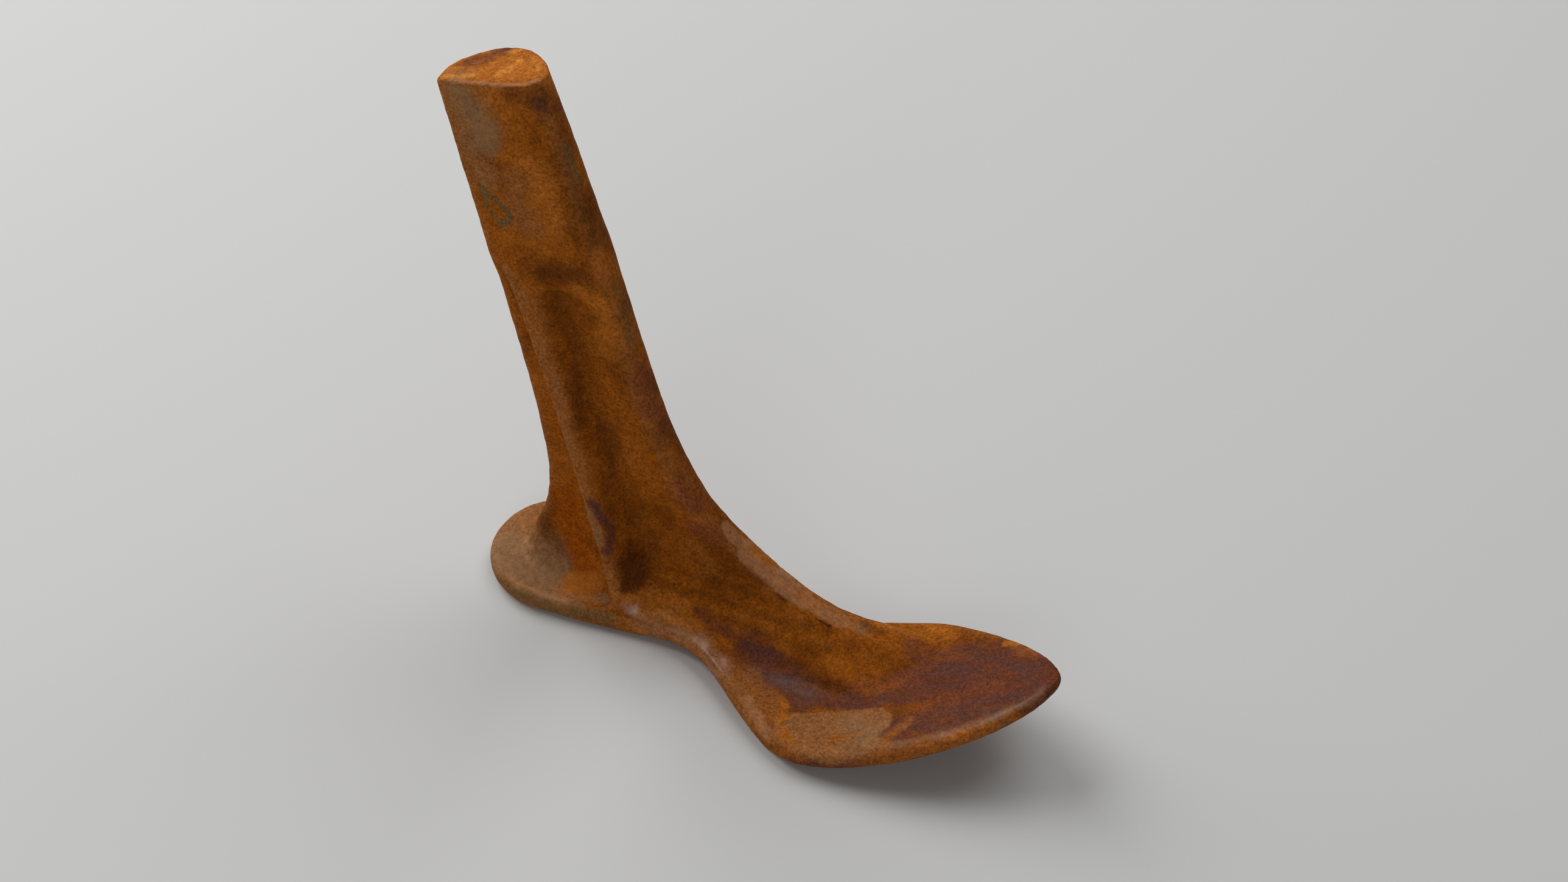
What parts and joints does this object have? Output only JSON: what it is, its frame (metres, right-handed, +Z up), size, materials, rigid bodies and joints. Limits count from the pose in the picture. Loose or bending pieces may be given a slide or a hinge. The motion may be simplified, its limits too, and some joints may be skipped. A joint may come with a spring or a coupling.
{
  "type": "cobbler anvil",
  "caption": "Rusted cast-iron shoe last: a foot-shaped sole with a sprung toe, carried by a ribbed leg and a solid tapered post that drops into a bench or stump.",
  "frame": {"origin": "centre of the round heel, on the ground", "axes": "+X from heel to toe, +Y to the inner side of the foot, +Z up towards the post's end"},
  "size_m": [0.1913, 0.0695, 0.1831],
  "materials": {
    "rusted_iron": "rusted as-cast surface, rough"
  },
  "bodies": {
    "root": {"heel_plate": "rusted_iron", "waist_plate": "rusted_iron", "ball_plate": "rusted_iron", "toe_plate": "rusted_iron", "rear_web": "rusted_iron", "cross_rib": "rusted_iron", "front_web": "rusted_iron", "post": "rusted_iron"}
  },
  "joints": []
}
